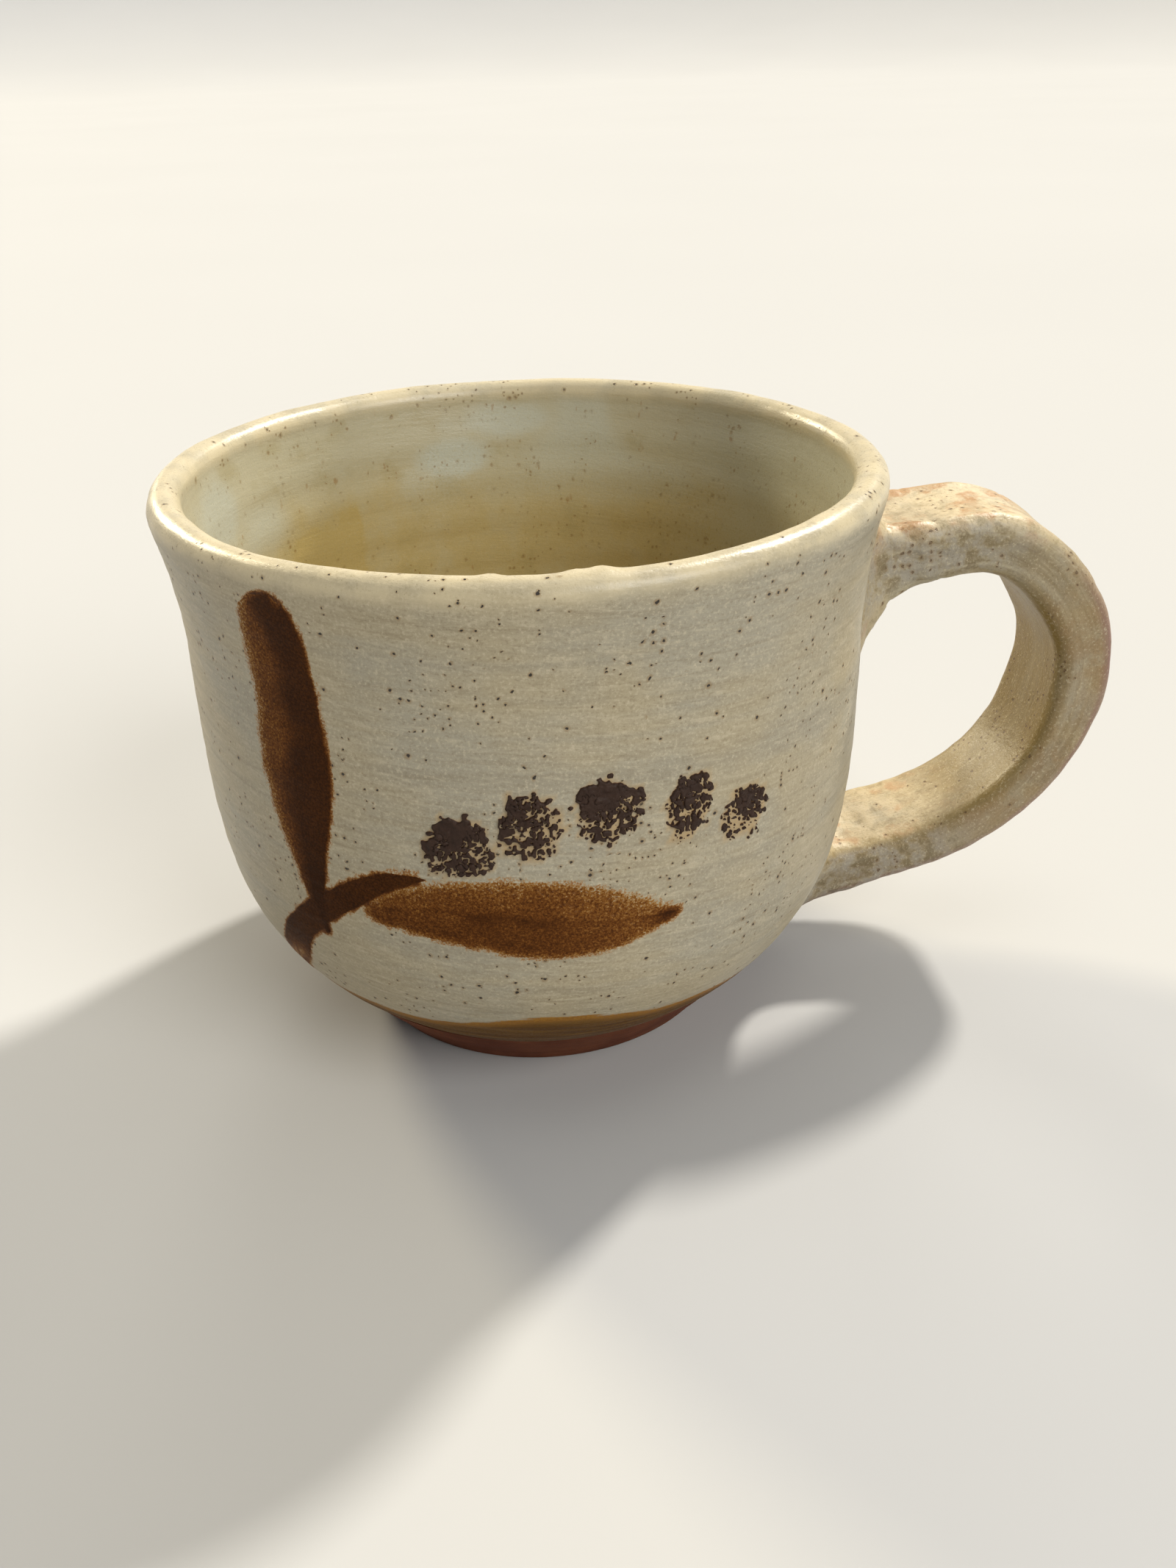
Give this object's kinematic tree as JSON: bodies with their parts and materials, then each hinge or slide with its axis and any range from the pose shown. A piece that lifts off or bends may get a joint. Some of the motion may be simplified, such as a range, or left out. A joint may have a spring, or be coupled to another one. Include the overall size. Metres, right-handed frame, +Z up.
{
  "type": "stoneware mug",
  "caption": "Wide hand-thrown stoneware mug with a flared rounded lip, turned foot, pulled strap handle and a brushed leaf and berry sprig.",
  "frame": {"origin": "centre of the foot's flat standing face, on the cup's axis", "axes": "+Z up through the mouth, +X from the cup's axis towards the handle; the decoration faces -Y"},
  "size_m": [0.1437, 0.1046, 0.0862],
  "materials": {
    "glaze": "satin off-white glaze, grey-green to warm beige, with fine throwing lines and sparse iron speckles",
    "handle_glaze": "satin off-white glaze, pitted and thin on the strap's outer edges where the warm clay shows",
    "bare_clay": "dry unglazed red-brown stoneware with turning lines",
    "iron_wash": "brushed iron slip under the glaze, dark brown with golden tan grainy edges",
    "iron_slip": "thick dabbed chocolate-brown slip, matte and broken into small islands"
  },
  "bodies": {
    "root": {"cup_body": "glaze", "turned_foot": "bare_clay", "handle_strap": "handle_glaze", "handle_root_upper": "handle_glaze", "handle_root_lower": "handle_glaze", "leaf_upright": "iron_wash", "leaf_lying": "iron_wash", "stem": "iron_wash", "berry_1": "iron_slip", "berry_2": "iron_slip", "berry_3": "iron_slip", "berry_4": "iron_slip", "berry_5": "iron_slip"}
  },
  "joints": []
}
